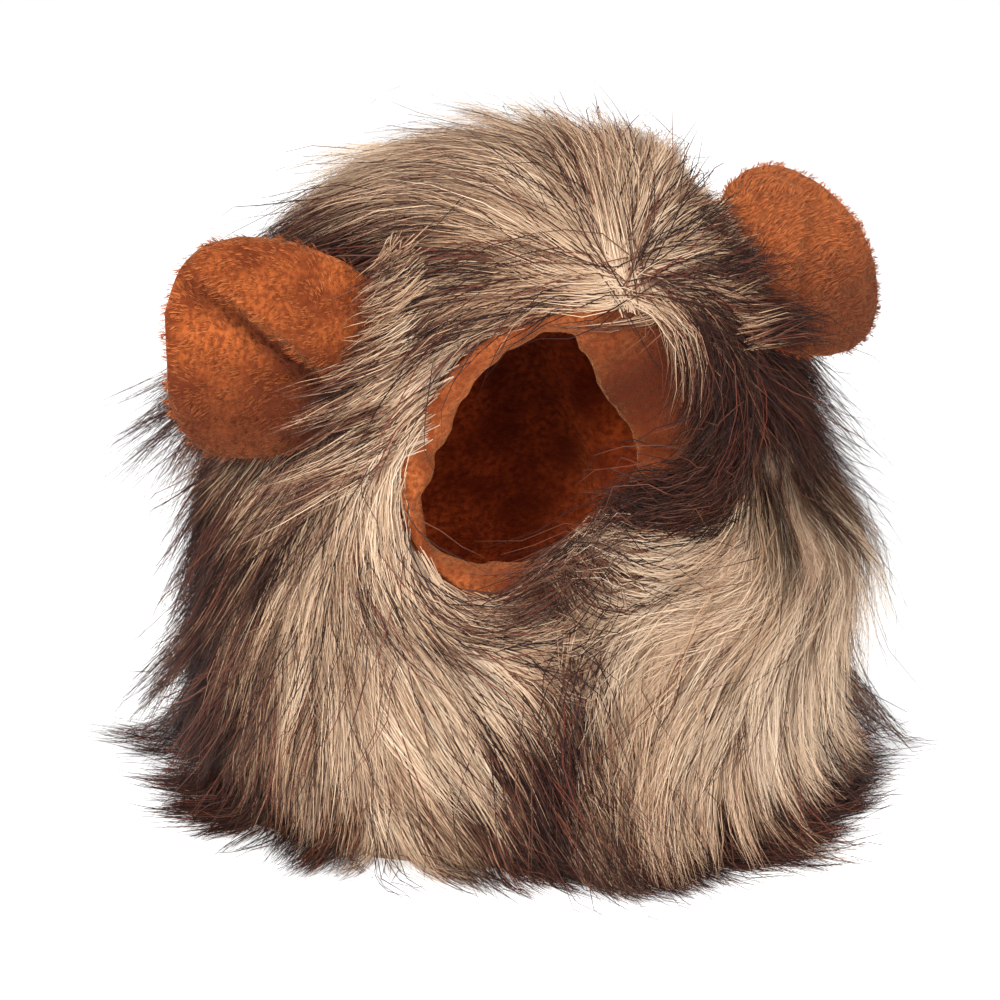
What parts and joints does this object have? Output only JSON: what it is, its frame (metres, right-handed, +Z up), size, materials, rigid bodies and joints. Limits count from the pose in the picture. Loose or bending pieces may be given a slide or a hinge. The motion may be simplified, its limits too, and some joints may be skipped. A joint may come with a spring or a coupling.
{
  "type": "pet lion mane wig",
  "caption": "Soft hood for a cat or small dog: long-pile fur mane with a gathered face opening, padded plush ears and a chin overlap, standing on its hem.",
  "frame": {"origin": "middle of the footprint on the surface that the hem stands on", "axes": "+Z up, the face opening looks towards -Y, +X towards the wearer's left ear"},
  "size_m": [0.2422, 0.2092, 0.1904],
  "materials": {
    "mane_fur": "long-pile faux fur, cream roots and dark brown tips, low sheen",
    "lining_plush": "short brushed plush",
    "binding_plush": "short brushed plush, gathered",
    "ear_plush": "short brushed plush, padded",
    "hook_tape": "touch tape"
  },
  "bodies": {
    "root": {"mane": "mane_fur", "lining": "lining_plush", "face_binding": "binding_plush", "ear_left": "ear_plush", "ear_right": "ear_plush", "chin_closure": "hook_tape"}
  },
  "joints": []
}
